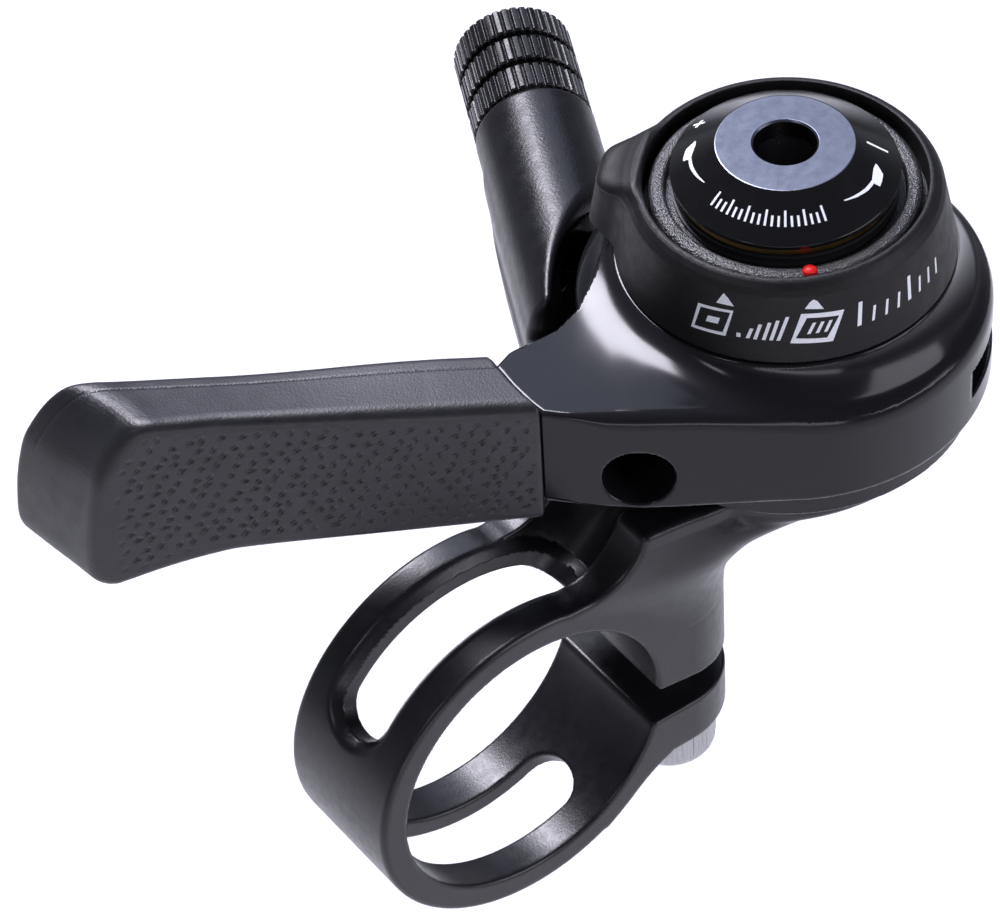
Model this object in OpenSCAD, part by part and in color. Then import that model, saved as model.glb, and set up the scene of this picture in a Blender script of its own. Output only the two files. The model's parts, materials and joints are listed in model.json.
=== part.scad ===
// Thumb shifter for a flat handlebar: a friction and index lever on a split clamp,
// with a mode ring, a tension dial and a barrel adjuster for the cable.
// Origin: centre of the handlebar bore. +Y runs along the handlebar, away from the rider.
// +Z is the lever's pivot direction, +X the side of the clamp slit. Sizes are millimetres.

/* [Handlebar clamp] */
// Radius of the handlebar bore
bar_r = 11.1; // [11.0:0.05:11.2]
// Wall thickness of the clamp ring
clamp_wall = 2.2; // [2.0:0.1:2.6]
// Width of the clamp along the handlebar
clamp_w = 11.2; // [10.5:0.1:12]
// Height of the slit between the two ears
slit_h = 3.1; // [2.4:0.1:3.4]
// Distance from the bore centre to the clamp bolt axis
bolt_x = 16.0; // [15.8:0.1:16.2]
// Radius of the clamp bolt's shank
bolt_r = 2.0; // [1.9:0.05:2.1]

/* [Head] */
// Distance from the bore centre to the pivot axis
head_x = 27.3; // [27.0:0.1:27.6]
// Height of the bracket's platform above the bore centre
platform_z = 16.7; // [16.5:0.1:16.9]
// Radius of the pivot post
post_r = 4.97; // [4.9:0.01:5.0]
// Radius of the lever's round collar
collar_r = 14.4; // [14.2:0.1:14.6]
// Radius at the floor of the cable groove
groove_r = 13.0; // [12.8:0.1:13.2]

/* [Lever] */
// Angle of the lever arm around the pivot, from +X
arm_angle = 148; // [146:1:150]
// Angle that the lever sweeps from its released stop
lever_sweep = 150; // [120:5:160]
// Radius of the hole for the cable nipple
nipple_r = 2.5; // [2.4:0.05:2.6]

/* [Mode ring and dial] */
// Radius at the foot of the mode ring
ring_foot_r = 11.95; // [11.8:0.05:12.0]
// Radius inside the lip of the mode ring
ring_lip_r = 9.87; // [9.8:0.01:9.9]
// Angle between the index and the friction position
mode_angle = 36; // [30:1:40]
// Angle of the mode ring's finger tab around the pivot
tab_angle = 131; // [128:1:134]
// Radius of the tension dial
dial_r = 7.97; // [7.8:0.01:8.0]
// Radius of the access hole in the dial
dial_hole_r = 2.4; // [2.2:0.1:2.5]

/* [Cable entry] */
// Angle of the barrel axis from +Y towards +X
barrel_angle = 26; // [24:1:28]
// Distance from the pivot axis to the cable
cable_r = 13.6; // [13.4:0.1:13.8]
// Radius of the knurled barrel
barrel_r = 4.45; // [4.3:0.05:4.5]
// Radius of the socket for the cable housing's ferrule
ferrule_r = 3.05; // [3.0:0.01:3.1]

/* [Hidden] */
$fn = 96;
hull_fn = 32;

ring_r = bar_r + clamp_wall;
slit_top = -0.36;
slit_bottom = slit_top - slit_h;
ear_x = 14.3;
ear_r = clamp_w / 2;
ear_boss_z = -7.8;
bolt_head_h = 4.7;
washer_h = 0.9;
bolt_head_r = 3.5;
bolt_end_z = 7.5;

// heights of the head's parts
flange_z = platform_z + 1.2;
base_z = platform_z + 1.9;
collar_z0 = 19.2;
floor_z = 21.2;
cavity_r = 10.45;
collar_top = 30.0;
band_top = 25.3;
groove_z0 = 21.45;
groove_z1 = 23.9;
cable_z = (groove_z0 + groove_z1) / 2;
ring_z0 = 30.2;
ring_z1 = 36.45;
dial_z0 = 36.9;
dial_z1 = 39.7;
bush_r = 6.0;
ball_r = 1.05;
ball_pcd_r = 8.2;
flat_x = 4.5;

// the lever's stop: a pin in the base and an arc slot under the collar
stop_r = 9.4;
stop_angle = 60;
stop_pin_r = 0.9;
stop_slot_r = 1.05;
stop_slot_end_r = 1.15;

// running clearances on the radius
bush_gap = 0.05;
thread_gap = 0.06;
bolt_gap = 0.15;

// index mechanism: plates, studs, followers and ramps
index_z0 = 23.35;
index_z1 = 24.4;
lock_z0 = 24.45;
lock_z1 = 25.45;
lock_lift = 0.6;
cam_steps = 9;
stud_angles = [20, 140, 260];
stud_pcd_r = 6.4;
ball_angles = [60, 180, 300];
follower_angles = [90, 210, 330];
follower_z = 25.2;
follower_r = 0.5;
ramp_r = 0.72;
flat_gap = 0.08;

// ring, cover and marker
ring_bore_r = 10.15;
ring_shoulder_z = 34.0;
cover_z0 = 27.55;
cover_top = 35.9;
marker_angle = 242;
marker_pcd_r = 8.92;

// screw down the middle of the pivot post
screw_r = 2.0;
screw_head_r = 3.5;
screw_head_z = 31.2;
screw_end_z = 12.4;
post_top = 37.8;

// tang of the lever inside the grip: [start, size]
tang_at = [17, 9.3, 20.6];
tang_size = [33, 2.6, 7.6];

dowel_r = 1.0;
dowel_pcd_r = 9.6;
dowel_angles = [100, 260];

// barrel: the point where the cable leaves the groove, and distances along the cable
entry = [head_x - cable_r * cos(barrel_angle), cable_r * sin(barrel_angle), cable_z];
boss_end = 23.3;
knurl_start = 23.5;
knurl_end = 32.7;
knurl_pitch = 3.1;
knurl_w = 2.75;
knurl_flutes = 40;
knurl_core_r = 3.95;
thread_r = 2.9;
sleeve_r = 3.65;
scoop_r = 16.3;

module at_head(angle = 0) {
    translate([head_x, 0, 0]) rotate([0, 0, angle]) children();
}

// a ring-shaped solid about the pivot
module head_ring(r_in, r_out, z0, z1) {
    at_head() translate([0, 0, z0]) difference() {
        cylinder(r = r_out, h = z1 - z0);
        translate([0, 0, -1]) cylinder(r = r_in, h = z1 - z0 + 2);
    }
}

// x runs along the cable away from the lever, y to the cable's left, z up
module along_cable() {
    translate(entry) rotate([0, 0, 90 - barrel_angle]) children();
}

// round bar about the cable, between two distances along it
module cable_cylinder(s0, s1, r) {
    along_cable() translate([s0, 0, 0]) rotate([0, 90, 0]) cylinder(r = r, h = s1 - s0);
}

// x runs along the lever arm, y to its front side, z up
module at_arm() {
    at_head(arm_angle) children();
}

// tube about the cable
module cable_ring(s0, s1, r_in, r_out) {
    difference() {
        cable_cylinder(s0, s1, r_out);
        cable_cylinder(s0 - 1, s1 + 1, r_in);
    }
}

// a shape seen along the handlebar, with width w
module cut_along_bar(w) {
    rotate([90, 0, 0]) linear_extrude(height = w, center = true) children();
}

// ---- clamp bracket ----

// outline of ring, web and ears, seen along the handlebar
module bracket_outline() {
    difference() {
        union() {
            circle(r = ring_r);
            polygon([[3.9, 6], [3.9, 12.6], [10.4, platform_z], [20.5, platform_z], [20.5, -3], [9, -3]]);
            polygon([
                [9, -3], [20.5, -3], [20.5, ear_boss_z], [12.4, ear_boss_z], [8.6, -9.5],
                [6.2, -11.7], [5, -10]
            ]);
        }
        translate([5.5, 17.6]) circle(r = 5.0);
        circle(r = bar_r);
        // slit, narrower at the outer end of the ears
        polygon([
            [8, slit_bottom], [8, slit_top], [bar_r, slit_top], [21, slit_top - 1.6],
            [21, slit_bottom - 0.4]
        ]);
    }
}

// the ears end in a half round
module ear_plan() {
    translate([-20, -clamp_w / 2, -20]) cube([20 + ear_x, clamp_w, 40]);
    translate([ear_x, 0, -20]) cylinder(r = ear_r, h = 40);
}

// radial window through the ring wall between two angles
module ring_window(a0, a1, half_w) {
    intersection() {
        cut_along_bar(2 * half_w)
            polygon([
                [0, 0],
                for (a = [a0:(a1 - a0) / 8:a1]) 18 * [cos(a), sin(a)]
            ]);
        rotate([90, 0, 0]) cylinder(r = 17, h = 30, center = true);
    }
    for (a = [a0, a1])
        rotate([0, -a, 0]) rotate([0, 90, 0]) cylinder(r = half_w, h = 17);
}

// one step of the flare between the ear and the platform
module flare_step(x0, r0, z0, x1, r1, z1) {
    hull() {
        translate([x0, 0, z0]) cylinder(r = r0, h = 0.01, $fn = hull_fn);
        translate([x1, 0, z1]) cylinder(r = r1, h = 0.01, $fn = hull_fn);
    }
}

module clamp_bracket() {
    color([0.08, 0.08, 0.09])
    difference() {
        union() {
            intersection() {
                cut_along_bar(clamp_w) bracket_outline();
                ear_plan();
            }
            flare_step(ear_x, ear_r, 6, 15.6, 5.9, 10);
            flare_step(15.6, 5.9, 9.99, 19.5, 7.8, 13.2);
            flare_step(19.5, 7.8, 13.19, head_x - 0.4, 11.6, 15.21);
            translate([head_x - 0.4, 0, 15.2]) cylinder(r = 11.6, h = platform_z - 15.2);
            // boss that takes the mounting screw
            translate([head_x, 0, 11.8]) cylinder(r = 4.2, h = 3);
        }
        // lightening slots in the ring
        ring_window(62, 144, 2.6);
        ring_window(221, 292, 2.6);
        // bolt: seat and clearance in the lower ear, thread in the upper one
        translate([bolt_x, 0, -20]) cylinder(r = 4.1, h = 20 + ear_boss_z);
        translate([bolt_x, 0, -20]) cylinder(r = bolt_r + bolt_gap, h = 20 + slit_bottom + 0.5);
        translate([bolt_x, 0, slit_bottom + 0.5]) cylinder(r = bolt_r + thread_gap, h = 11);
        // thread for the mounting screw, and the dowel holes
        translate([head_x, 0, 5]) cylinder(r = screw_r + thread_gap, h = 20);
        dowel_places() translate([0, 0, platform_z - 1.3]) cylinder(r = dowel_r + 0.05, h = 5);
        // inside of the bore, kept round where the web meets the ring
        rotate([90, 0, 0]) cylinder(r = bar_r, h = 40, center = true);
    }
}

// places of the two dowels between bracket and base
module dowel_places() {
    for (a = dowel_angles) at_head(a) translate([dowel_pcd_r, 0, 0]) children();
}

module clamp_bolt() {
    head_z = ear_boss_z - washer_h - bolt_head_h;
    color([0.75, 0.76, 0.78])
    translate([bolt_x, 0, 0]) difference() {
        union() {
            translate([0, 0, head_z]) cylinder(r = bolt_head_r, h = bolt_head_h);
            translate([0, 0, ear_boss_z - washer_h - 0.01])
                cylinder(r = bolt_r, h = bolt_end_z - ear_boss_z + washer_h);
        }
        // hexagon socket
        translate([0, 0, head_z - 0.01]) cylinder(r = 1.95, h = 2.6, $fn = 6);
    }
}

module bolt_washer() {
    color([0.7, 0.7, 0.72])
    translate([bolt_x, 0, ear_boss_z - washer_h]) difference() {
        cylinder(r = 3.9, h = washer_h);
        translate([0, 0, -1]) cylinder(r = bolt_r + bolt_gap, h = washer_h + 2);
    }
}

module locating_dowels() {
    color([0.7, 0.7, 0.72])
    dowel_places() translate([0, 0, platform_z - 1.2]) cylinder(r = dowel_r, h = 2.7);
}

// ---- base with the cable stop ----

module cable_stop_body() {
    color([0.1, 0.1, 0.11])
    difference() {
        union() {
            head_ring(post_r + 0.03, 13.4, platform_z, base_z);
            cable_cylinder(2, boss_end, barrel_r + 0.05);
            // foot of the boss, down to the base plate
            hull() {
                cable_cylinder(2, 19.5, barrel_r - 0.02, $fn = hull_fn);
                along_cable() translate([2, -4.4, platform_z - cable_z]) cube([9.5, 8.8, 1.5]);
            }
        }
        // room for the turning collar, and for the arm at its stop
        at_head() translate([0, 0, base_z]) cylinder(r = scoop_r, h = 20);
        // pocket for the post's flange
        at_head() translate([0, 0, platform_z - 1]) cylinder(r = 7.0, h = flange_z - platform_z + 1);
        dowel_places() translate([0, 0, platform_z - 1]) cylinder(r = dowel_r + 0.05, h = 2.6);
        at_head(stop_angle) translate([stop_r, 0, platform_z - 1]) cylinder(r = stop_pin_r, h = 5);
        // cable passage, sleeve pocket and the thread's mouth
        cable_cylinder(-5, 30, 1.3);
        cable_cylinder(9.0, 30, thread_r + thread_gap);
        cable_cylinder(16.6, 30, sleeve_r + thread_gap);
        // keyway that stops the sleeve from turning
        along_cable() translate([16.6, -0.75, 0]) cube([9, 1.5, sleeve_r + 0.36]);
    }
}

module pivot_post() {
    color([0.72, 0.72, 0.74])
    at_head() difference() {
        union() {
            translate([0, 0, platform_z]) cylinder(r = 6.9, h = flange_z - platform_z);
            translate([0, 0, platform_z]) cylinder(r = post_r, h = post_top - platform_z);
        }
        translate([0, 0, 10]) cylinder(r = screw_r + 0.2, h = 40);
        translate([0, 0, screw_head_z]) cylinder(r = screw_head_r + 0.15, h = 10);
        // two flats key the lock plate
        for (side = [0, 180]) rotate([0, 0, side]) translate([flat_x, -6, 24.0]) cube([3, 12, 20]);
    }
}

module mounting_screw() {
    color([0.6, 0.6, 0.63])
    at_head() difference() {
        union() {
            translate([0, 0, screw_head_z]) cylinder(r = screw_head_r, h = 2.8);
            translate([0, 0, screw_end_z]) cylinder(r = screw_r, h = screw_head_z - screw_end_z + 0.1);
        }
        // hexagon socket
        translate([0, 0, screw_head_z + 1]) cylinder(r = 1.7, h = 3, $fn = 6);
    }
}

module thrust_washer() {
    color([0.85, 0.83, 0.75])
    head_ring(post_r + 0.08, 7.6, base_z, collar_z0 - 0.05);
}

module stop_pin() {
    color([0.7, 0.7, 0.72])
    at_head(stop_angle) translate([stop_r, 0, platform_z]) cylinder(r = stop_pin_r, h = 3.5);
}

// ---- lever ----

// half section of the collar: band, rounded ridge and the flare under the mode ring
module collar_section() {
    flare_c = [17.6, 31.6];
    flare_len = 5.85;
    difference() {
        polygon([
            [bush_r, collar_z0], [collar_r - 0.35, collar_z0], [collar_r, collar_z0 + 0.35],
            [collar_r, band_top], [collar_r - 0.15, band_top + 0.55], [collar_r - 0.5, band_top + 0.9],
            [collar_r - 0.9, band_top + 1.0], [11.95, collar_top], [cavity_r, collar_top],
            [cavity_r, floor_z], [bush_r, floor_z]
        ]);
        translate(flare_c) circle(r = flare_len);
    }
}

// plan of the arm: front face tangent to the collar, back edge filleted into it
module arm_plan() {
    polygon([
        [-1.5, 14.3], [1.9, 14.58], [9.5, 14.6], [11.6, 14.5], [14.0, 14.15],
        [16.3, 13.65], [18.2, 13.1], [19.1, 11.9], [20.0, 10.4], [21.1, 8.2],
        [20.0, 6.8], [18.6, 5.8], [16.7, 4.8], [15.2, 3.2], [13.8, 0.4], [12.5, -3.0],
        [11.6, -4.6], [6, -2], [0, 8]
    ]);
}

// side view of the arm: the top falls towards the collar's front
module arm_side() {
    polygon([
        [0, collar_z0], [22, collar_z0 + 0.9], [22, 29.0], [12.2, 29.0], [9.3, 28.4],
        [2, 26.4], [0, 26.0]
    ]);
}

module lever() {
    color([0.05, 0.05, 0.06])
    difference() {
        union() {
            at_head() rotate_extrude() collar_section();
            at_arm() intersection() {
                linear_extrude(height = 40) arm_plan();
                translate([0, 20, 0]) rotate([90, 0, 0]) linear_extrude(height = 20) arm_side();
            }
            // tang inside the grip
            at_arm() translate(tang_at) cube(tang_size);
        }
        // mechanism's room, and the seat of the bush
        at_head() translate([0, 0, floor_z]) cylinder(r = cavity_r, h = 20);
        at_head() translate([0, 0, 10]) cylinder(r = bush_r, h = 20);
        // cable groove round the back of the collar, from the arm to the front right
        at_head(295) rotate_extrude(angle = 223)
            translate([groove_r, groove_z0]) square([5, groove_z1 - groove_z0]);
        // seat of the cable nipple and the way through for the cable
        at_arm() translate([11.8, 20, cable_z]) rotate([90, 0, 0]) cylinder(r = nipple_r, h = 14.5);
        cable_cylinder(-11.5, 4, 1.1);
        // slot for the stop pin
        at_head(stop_angle - lever_sweep - 1) rotate_extrude(angle = lever_sweep + 2)
            translate([stop_r - stop_slot_r, collar_z0 - 1]) square([2 * stop_slot_r, 2.2]);
        for (a = [stop_angle - lever_sweep - 1, stop_angle + 1])
            at_head(a) translate([stop_r, 0, collar_z0 - 1]) cylinder(r = stop_slot_end_r, h = 2.2);
        // keys of the ball carrier
        for (a = [0, 120, 240]) at_head(a) translate([6.8, -1, floor_z - 0.6]) cube([2, 2, 1]);
    }
}

// side view of the grip: straight near the lever, deeper and round at the tip
module grip_side() {
    hull() {
        translate([16, 18.75]) square([0.1, 10.85]);
        translate([42, 17.5]) square([0.1, 13.3]);
    }
    hull() {
        translate([41.9, 17.5]) square([0.1, 13.3]);
        translate([48.3, 24.1]) circle(r = 6.5);
        translate([52.3, 18.5]) circle(r = 2.4);
        translate([48, 17.1]) circle(r = 0.9);
    }
}

module grip_plan() {
    difference() {
        hull() {
            translate([15, 7.9]) square([0.1, 5.6]);
            translate([40, 12.9]) circle(r = 0.8);
            translate([48.6, 13.8]) circle(r = 0.9);
            translate([53.2, 9.4]) circle(r = 1.5);
        }
        // the end that follows the lever's arm
        polygon([
            [10, 20], [18.35, 20], [18.35, 13.1], [19.25, 12.0], [20.15, 10.5], [21.3, 8.2],
            [21.3, 0], [10, 0]
        ]);
    }
}

module lever_grip() {
    color([0.13, 0.13, 0.14])
    at_arm() difference() {
        intersection() {
            linear_extrude(height = 40) grip_plan();
            translate([0, 20, 0]) rotate([90, 0, 0]) linear_extrude(height = 20) grip_side();
        }
        translate(tang_at) cube(tang_size);
    }
}

module pivot_bush() {
    color([0.8, 0.62, 0.3])
    head_ring(post_r + bush_gap, bush_r, collar_z0, 23.0);
}

module ball_carrier() {
    color([0.82, 0.82, 0.8])
    difference() {
        union() {
            head_ring(bush_r, cavity_r - 0.1, floor_z, 22.8);
            for (a = [0, 120, 240]) at_head(a) translate([6.9, -0.9, floor_z - 0.5]) cube([1.8, 1.8, 0.6]);
        }
        ball_places() cylinder(r = ball_r + 0.1, h = 10, center = true);
    }
}

// centres of the detent balls
module ball_places() {
    for (a = ball_angles) at_head(a) translate([ball_pcd_r, 0, floor_z + ball_r + 0.02]) children();
}

module detent_balls() {
    color([0.8, 0.8, 0.82])
    ball_places() sphere(r = ball_r, $fn = 32);
}

// ---- index mechanism ----

module index_plate() {
    color([0.65, 0.66, 0.68])
    difference() {
        head_ring(post_r + 0.25, 9.9, index_z0, index_z1);
        // pockets that the lock plate's studs drop into
        for (a = stud_angles) at_head(a) translate([stud_pcd_r, 0, index_z1 - 0.6]) cylinder(r = 0.85, h = 2);
        // shallow index pockets on the ball circle
        for (a = [0:15:345]) at_head(a)
            translate([ball_pcd_r, 0, index_z0 - 0.25]) cylinder(r = 0.7, h = 0.5);
    }
}

module lock_plate() {
    color([0.6, 0.6, 0.62])
    at_head() difference() {
        union() {
            translate([0, 0, lock_z0]) cylinder(r = 9.3, h = lock_z1 - lock_z0);
            for (a = stud_angles) rotate([0, 0, a])
                translate([stud_pcd_r, 0, lock_z0 - 0.5]) cylinder(r = 0.7, h = 0.6);
            // followers that ride in the mode cam's ramps
            for (a = follower_angles) rotate([0, 0, a])
                translate([8.5, 0, follower_z]) rotate([0, 90, 0]) cylinder(r = follower_r, h = 1.55);
        }
        intersection() {
            translate([0, 0, 20]) cylinder(r = post_r + 0.1, h = 10);
            translate([-flat_x - flat_gap, -8, 20]) cube([2 * (flat_x + flat_gap), 16, 10]);
        }
    }
}

module mode_cam() {
    color([0.3, 0.3, 0.32])
    difference() {
        head_ring(9.65, 10.13, 24.5, 33.0);
        // one ramp for each follower
        for (a = follower_angles) for (step = [0:cam_steps])
            at_head(a - mode_angle * step / cam_steps)
                translate([8, 0, follower_z + lock_lift * step / cam_steps])
                    rotate([0, 90, 0]) cylinder(r = ramp_r, h = 4);
    }
}

module pressure_spring() {
    color([0.7, 0.7, 0.72])
    // four dished washers stacked face to face
    at_head() rotate_extrude() for (i = [0:3]) translate([0, 25.5 + 0.5 * i]) polygon(
        i % 2 == 0
            ? [[6.2, 0.02], [7.7, 0.22], [7.7, 0.46], [6.2, 0.26]]
            : [[6.2, 0.26], [7.7, 0.02], [7.7, 0.26], [6.2, 0.5]]
    );
}

// ---- mode ring ----

module mode_ring_section() {
    polygon([
        [ring_bore_r, ring_z0], [ring_foot_r, ring_z0], [ring_foot_r, ring_z0 + 0.3],
        [11.0, ring_z1 - 1.0], [10.8, ring_z1 - 0.45], [10.45, ring_z1 - 0.1], [10.15, ring_z1],
        [ring_lip_r, ring_z1], [ring_lip_r, ring_shoulder_z], [ring_bore_r, ring_shoulder_z]
    ]);
}

module mode_ring() {
    color([0.12, 0.12, 0.13])
    difference() {
        union() {
            at_head() rotate_extrude() mode_ring_section();
            // finger tab
            hull() {
                at_head(tab_angle) translate([9.9, -1.7, ring_z1 - 0.9]) cube([1, 3.4, 0.8]);
                at_head(tab_angle) translate([11.6, 0, ring_z1 - 0.9])
                    cylinder(r = 1.3, h = 0.8, $fn = hull_fn);
                at_head(tab_angle) translate([10.2, -1.9, ring_z0 + 0.4]) cube([1, 3.8, 0.5]);
                at_head(tab_angle) translate([12.6, 0, ring_z0 + 0.4])
                    cylinder(r = 1.4, h = 0.5, $fn = hull_fn);
            }
        }
        at_head() translate([0, 0, 25]) cylinder(r = ring_bore_r, h = ring_shoulder_z - 25);
        at_head() translate([0, 0, 30]) cylinder(r = ring_lip_r, h = 10);
    }
}

// ---- cover, springs and dial ----

module cover_ring() {
    color([0.2, 0.2, 0.21])
    at_head() rotate_extrude() polygon([
        [post_r + 0.08, cover_z0], [9.6, cover_z0], [9.6, 33.1], [10.09, 33.1],
        [10.09, ring_shoulder_z - 0.1], [9.45, ring_shoulder_z - 0.1],
        [9.45, cover_top - 0.15], [9.3, cover_top], [8.5, cover_top], [8.35, cover_top - 0.15],
        [8.35, 35.2], [6.2, 35.2], [6.2, 33.1], [post_r + 0.08, 33.1]
    ]);
}

module marker_dot() {
    color([0.85, 0.05, 0.05])
    at_head(marker_angle) translate([marker_pcd_r, 0, cover_top + 0.02]) difference() {
        sphere(r = 0.65, $fn = 32);
        translate([-2, -2, -2]) cube([4, 4, 2]);
    }
}

module disc_springs() {
    color([0.7, 0.7, 0.72])
    at_head() rotate_extrude() {
        polygon([[6.25, 35.5], [7.8, 35.25], [7.8, 35.5], [6.25, 35.75]]);
        polygon([[6.25, 35.8], [7.8, 36.05], [7.8, 36.3], [6.25, 36.05]]);
    }
}

module brass_washer() {
    color([0.78, 0.6, 0.25])
    head_ring(6.15, 8.12, 36.35, 36.85);
}

module tension_dial() {
    color([0.06, 0.06, 0.07])
    at_head() rotate_extrude() polygon([
        [5.03, 33.4], [6.05, 33.4], [6.05, dial_z0], [dial_r - 0.15, dial_z0], [dial_r, dial_z0 + 0.15],
        [dial_r, dial_z0 + 0.45], [4.85, dial_z1], [dial_hole_r, dial_z1], [dial_hole_r, 38.2], [5.03, 38.2]
    ]);
}

// ---- barrel adjuster ----

module click_sleeve() {
    color([0.85, 0.85, 0.82])
    difference() {
        union() {
            cable_cylinder(16.8, boss_end, sleeve_r);
            along_cable() translate([16.8, -0.65, 0]) cube([boss_end - 16.8, 1.3, sleeve_r + 0.3]);
        }
        cable_cylinder(10, 40, thread_r + 0.08);
        // groove of the friction ring
        cable_ring(21.4, 22.4, thread_r, thread_r + 0.35);
    }
}

module friction_ring() {
    color([0.1, 0.1, 0.1])
    cable_ring(21.45, 22.35, thread_r + 0.02, thread_r + 0.33);
}

// one knurled band: a ring of straight flutes
module knurl_band(s0) {
    s1 = s0 + knurl_w;
    difference() {
        cable_cylinder(s0, s1, barrel_r);
        for (i = [0:knurl_flutes - 1]) along_cable() rotate([i * 360 / knurl_flutes, 0, 0])
            translate([s0 - 0.1, 0, barrel_r + 0.12])
                rotate([0, 90, 0]) cylinder(r = 0.3, h = s1 - s0 + 0.2, $fn = 6);
    }
}

module barrel_adjuster() {
    color([0.07, 0.07, 0.08])
    difference() {
        union() {
            cable_cylinder(9.4, knurl_start + 0.1, thread_r);
            cable_cylinder(knurl_start, knurl_end, knurl_core_r);
            for (i = [0:2]) knurl_band(knurl_start + knurl_pitch * i);
        }
        cable_cylinder(10, 40, 1.1);
        cable_cylinder(26.2, 40, ferrule_r);
    }
}

clamp_bracket();
clamp_bolt();
bolt_washer();
locating_dowels();
cable_stop_body();
pivot_post();
mounting_screw();
thrust_washer();
stop_pin();
lever();
lever_grip();
pivot_bush();
ball_carrier();
detent_balls();
index_plate();
lock_plate();
pressure_spring();
mode_cam();
mode_ring();
cover_ring();
marker_dot();
disc_springs();
brass_washer();
tension_dial();
click_sleeve();
friction_ring();
barrel_adjuster();
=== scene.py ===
import json
import math
import bpy
import numpy as np
from mathutils import Matrix, Vector


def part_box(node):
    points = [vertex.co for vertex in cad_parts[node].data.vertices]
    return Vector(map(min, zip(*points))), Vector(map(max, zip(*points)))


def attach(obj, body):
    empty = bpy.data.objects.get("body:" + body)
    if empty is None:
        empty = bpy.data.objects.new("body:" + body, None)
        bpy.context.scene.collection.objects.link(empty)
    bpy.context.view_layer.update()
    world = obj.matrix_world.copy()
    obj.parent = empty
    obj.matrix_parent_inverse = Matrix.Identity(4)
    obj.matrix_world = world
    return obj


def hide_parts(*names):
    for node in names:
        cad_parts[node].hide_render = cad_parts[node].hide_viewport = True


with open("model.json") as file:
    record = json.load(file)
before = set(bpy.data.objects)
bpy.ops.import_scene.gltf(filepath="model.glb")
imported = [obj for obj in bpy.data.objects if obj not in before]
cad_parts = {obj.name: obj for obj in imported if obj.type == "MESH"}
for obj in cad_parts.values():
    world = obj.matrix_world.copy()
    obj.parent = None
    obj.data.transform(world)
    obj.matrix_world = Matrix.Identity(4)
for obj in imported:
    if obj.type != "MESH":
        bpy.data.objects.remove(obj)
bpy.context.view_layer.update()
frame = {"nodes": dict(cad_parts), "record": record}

NODES = frame["nodes"]
MOUNTS = {m["name"]: m for m in frame["record"]["mounts"]}
MM = 0.001  # fields, profiles and places are in millimetres, and meshes are in metres


def mid(node):
    """the middle of a node's box"""
    lo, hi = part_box(node)
    return (lo + hi) / 2 / MM


def bottom(node):
    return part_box(node)[0].z / MM


def top(node):
    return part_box(node)[1].z / MM


def grown_box(node, margin):
    """the corners of a node's box with a margin round it"""
    lo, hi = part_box(node)
    edge = Vector((margin,) * 3)
    return lo / MM - edge, hi / MM + edge


# ---- places that several pieces share ----
UP = (0, 0, 1)
HEAD_X = mid("pivot_post").x
HEAD = (HEAD_X, 0, 0)
BOLT_X = mid("clamp_bolt").x
BASE_Z = bottom("cable_stop_body")
COLLAR_Z = bottom("lever")
RING_Z = bottom("mode_ring")
EAR_Z = top("bolt_washer")
BORE_R = MOUNTS["bar_clamp"]["dims"]["r_mm"]
SOCKET = MOUNTS["cable_housing_socket"]
SOCKET_R = SOCKET["dims"]["r_mm"]
CABLE_DIR = np.array(SOCKET["axis"])
CABLE_Z = SOCKET["pos_m"][2] / MM
CABLE_R = 13.6  # from the lever's axis to the cable
ARM = math.radians(148)  # the way the lever's arm points
ARM_COS, ARM_SIN = math.cos(ARM), math.sin(ARM)


def head_radius(x, y):
    return np.hypot(x - HEAD_X, y)


def arm_frame(x, y):
    """distance along the arm from the lever's axis, and across it towards its front face"""
    dx = x - HEAD_X
    return dx * ARM_COS + y * ARM_SIN, -dx * ARM_SIN + y * ARM_COS


def cable_frame(x, y):
    """distance along the cable from the point nearest the lever's axis, and sideways towards that axis"""
    dx = x - HEAD_X
    along = dx * CABLE_DIR[0] + y * CABLE_DIR[1]
    side = -(dx * CABLE_DIR[1] - y * CABLE_DIR[0])
    return along, CABLE_R - side


# ---- fields: signed distances, negative inside ----
def smax(a, b, blend):
    """the larger of two fields, with the corner between them rounded over a width"""
    h = np.maximum(blend - np.abs(a - b), 0) / blend
    return np.maximum(a, b) + h * h * blend * 0.25


def smin(a, b, blend):
    """the smaller of two fields, blended in the same way"""
    return -smax(-a, -b, blend)


def smoothstep(t):
    t = np.clip(t, 0, 1)
    return t * t * (3 - 2 * t)


def polygon(px, py, pts):
    """distance to a closed outline, negative inside"""
    best = None
    wind = np.zeros(np.shape(px), np.int8)
    for (ax, ay), (bx, by) in zip(pts, pts[1:] + pts[:1]):
        ex, ey = bx - ax, by - ay
        wx, wy = px - ax, py - ay
        t = np.clip((wx * ex + wy * ey) / (ex * ex + ey * ey), 0, 1)
        d = (wx - ex * t) ** 2 + (wy - ey * t) ** 2
        best = d if best is None else np.minimum(best, d)
        left = ex * wy - ey * wx
        wind += ((ay <= py) & (by > py) & (left > 0)).astype(np.int8)
        wind -= ((ay > py) & (by <= py) & (left < 0)).astype(np.int8)
    return np.sqrt(best) * np.where(wind != 0, -1.0, 1.0)


def spline(points, parts=4):
    """a smooth open curve through the points"""
    p = np.array([points[0], *points, points[-1]], float)
    out = []
    for i in range(1, len(p) - 2):
        for k in range(parts):
            t = k / parts
            out.append(0.5 * (
                2 * p[i] + (p[i + 1] - p[i - 1]) * t
                + (2 * p[i - 1] - 5 * p[i] + 4 * p[i + 1] - p[i + 2]) * t ** 2
                + (3 * p[i] - p[i - 1] - 3 * p[i + 1] + p[i + 2]) * t ** 3
            ))
    return [tuple(q) for q in out] + [tuple(p[-1])]


def scatter(phase, gain):
    """a fixed number from 0 to 1 that looks random"""
    value = np.sin(phase) * gain
    return value - np.floor(value)


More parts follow.
